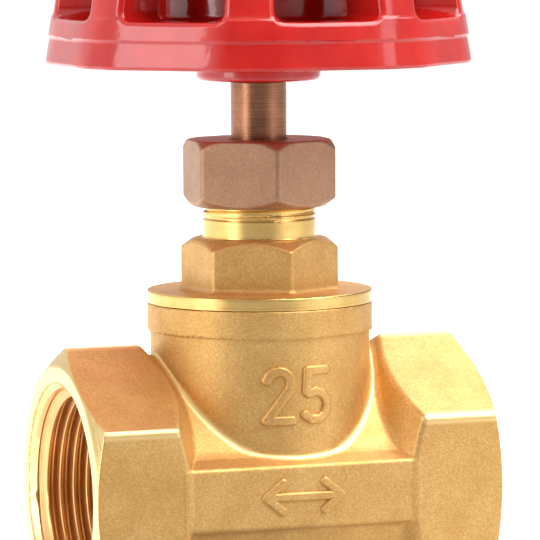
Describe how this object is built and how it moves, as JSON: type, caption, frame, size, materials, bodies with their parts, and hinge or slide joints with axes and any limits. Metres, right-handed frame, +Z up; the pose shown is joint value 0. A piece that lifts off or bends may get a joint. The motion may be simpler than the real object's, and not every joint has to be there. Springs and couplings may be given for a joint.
{
  "type": "gate valve",
  "caption": "Brass gate valve with threaded hexagonal ends, non-rising stem and dished red handwheel; turning the wheel lifts the wedge clear of the bore.",
  "frame": {"origin": "inside the body, where the flow axis crosses the stem axis", "axes": "+X along the flow axis, +Z up the stem towards the handwheel, -Y the side with the size mark"},
  "size_m": [0.0694, 0.0672, 0.1134],
  "materials": {
    "brass_cast": "sandblasted casting, machined faces bright",
    "brass_cast_bonnet": "sandblasted, flange edge and neck machined bright",
    "brass_machined": "cast, machined seat faces",
    "stem_bronze": "turned, brown",
    "red_paint": "gloss enamel",
    "copper_cast": "sandblasted copper-brown",
    "brass_turned": "turned bright",
    "ptfe": "plain",
    "gasket_fibre": "matt fibre sheet",
    "packing_graphite": "matt braided packing",
    "zinc_steel": "bright zinc plate"
  },
  "bodies": {
    "valve_body": {"body": "brass_cast", "bonnet": "brass_cast_bonnet", "bonnet_gasket": "gasket_fibre", "stem_retainer": "brass_turned", "thrust_washer": "ptfe", "packing_ring_lower": "packing_graphite", "packing_ring_middle": "packing_graphite", "packing_ring_upper": "packing_graphite"},
    "spindle": {"stem": "stem_bronze", "handwheel": "red_paint", "handwheel_washer": "zinc_steel", "handwheel_spring_washer": "zinc_steel", "handwheel_nut": "zinc_steel"},
    "gate": {"wedge": "brass_machined"},
    "gland": {"gland_follower": "brass_turned"},
    "gland_nut": {"packing_nut": "copper_cast"}
  },
  "joints": [
    {"name": "handwheel_turn", "type": "hinge", "parent": "valve_body", "child": "spindle", "pos_m": [0, 0, 0.0659], "axis": [0, 0, 1], "range_deg": [0, 3150]},
    {"name": "gate_lift", "type": "slide", "parent": "valve_body", "child": "gate", "axis": [0, 0, 1], "range_m": [0, 0.0219]},
    {"name": "gland_slide", "type": "slide", "parent": "valve_body", "child": "gland", "axis": [0, 0, -1], "range_m": [0, 0.0005], "deforming": ["packing_ring_upper"]},
    {"name": "gland_nut_turn", "type": "hinge", "parent": "gland", "child": "gland_nut", "pos_m": [0, 0, 0.0508], "axis": [0, 0, -1], "range_deg": [0, 120]}
  ],
  "couplings": [
    {"joint": "gate_lift", "follows": "handwheel_turn", "m_per_rad": 0.00039789},
    {"joint": "gland_nut_turn", "follows": "gland_slide", "rad_per_m": 4188.8}
  ]
}
